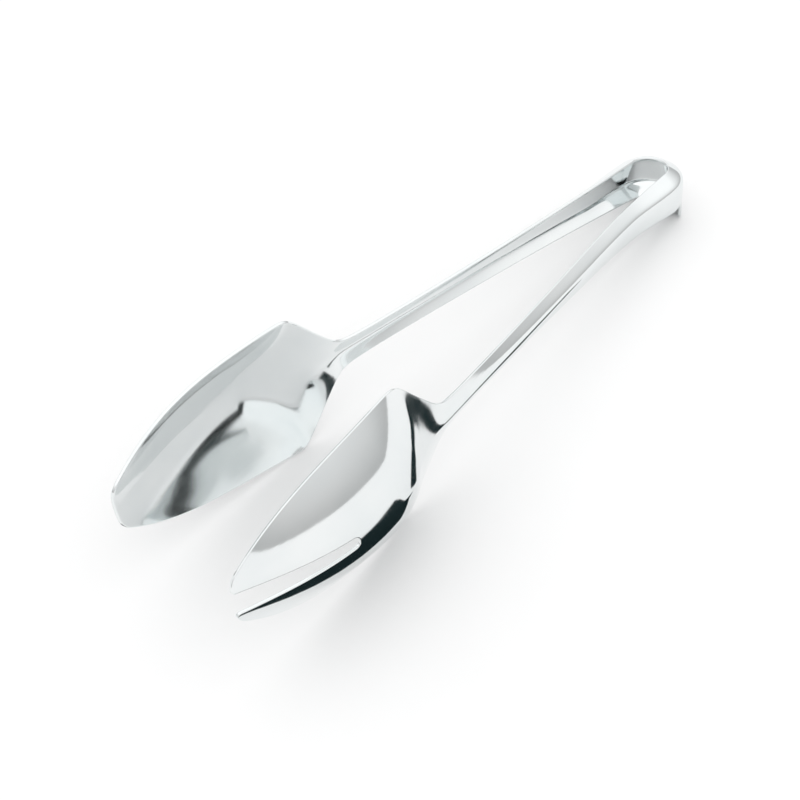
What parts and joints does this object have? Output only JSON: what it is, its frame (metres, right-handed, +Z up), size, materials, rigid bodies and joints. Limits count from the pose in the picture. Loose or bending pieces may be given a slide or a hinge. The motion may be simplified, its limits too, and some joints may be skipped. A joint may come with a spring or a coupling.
{
  "type": "serving tongs",
  "caption": "Polished stainless-steel serving tongs with a spring bow, channel arms, a leaf-shaped spoon blade and a slotted fork blade.",
  "frame": {"origin": "bottom centre of the box round the tongs as they stand", "axes": "+X from the blades to the bow, +Y to the spoon side, +Z up"},
  "size_m": [0.2516, 0.0814, 0.0592],
  "materials": {
    "steel": "polished stainless steel"
  },
  "bodies": {
    "bow": {"bow": "steel", "bow_foot": "steel"},
    "spoon_side": {"spoon_arm": "steel", "spoon_blade": "steel"},
    "fork_side": {"fork_arm": "steel", "fork_blade": "steel"}
  },
  "joints": [
    {"name": "spoon_close", "type": "hinge", "parent": "bow", "child": "spoon_side", "pos_m": [0.11844, 0.00472, 0.01192], "axis": [0.1011, 0, 0.9949], "range_deg": [0, 6.3], "stiffness_Nm_per_rad": 6, "deforming": ["bow"]},
    {"name": "fork_close", "type": "hinge", "parent": "bow", "child": "fork_side", "pos_m": [0.11844, -0.00827, 0.01192], "axis": [-0.1011, 0, -0.9949], "range_deg": [0, 6.3], "stiffness_Nm_per_rad": 6, "deforming": ["bow"]}
  ],
  "couplings": [
    {"joint": "fork_close", "follows": "spoon_close", "ratio": 1}
  ]
}
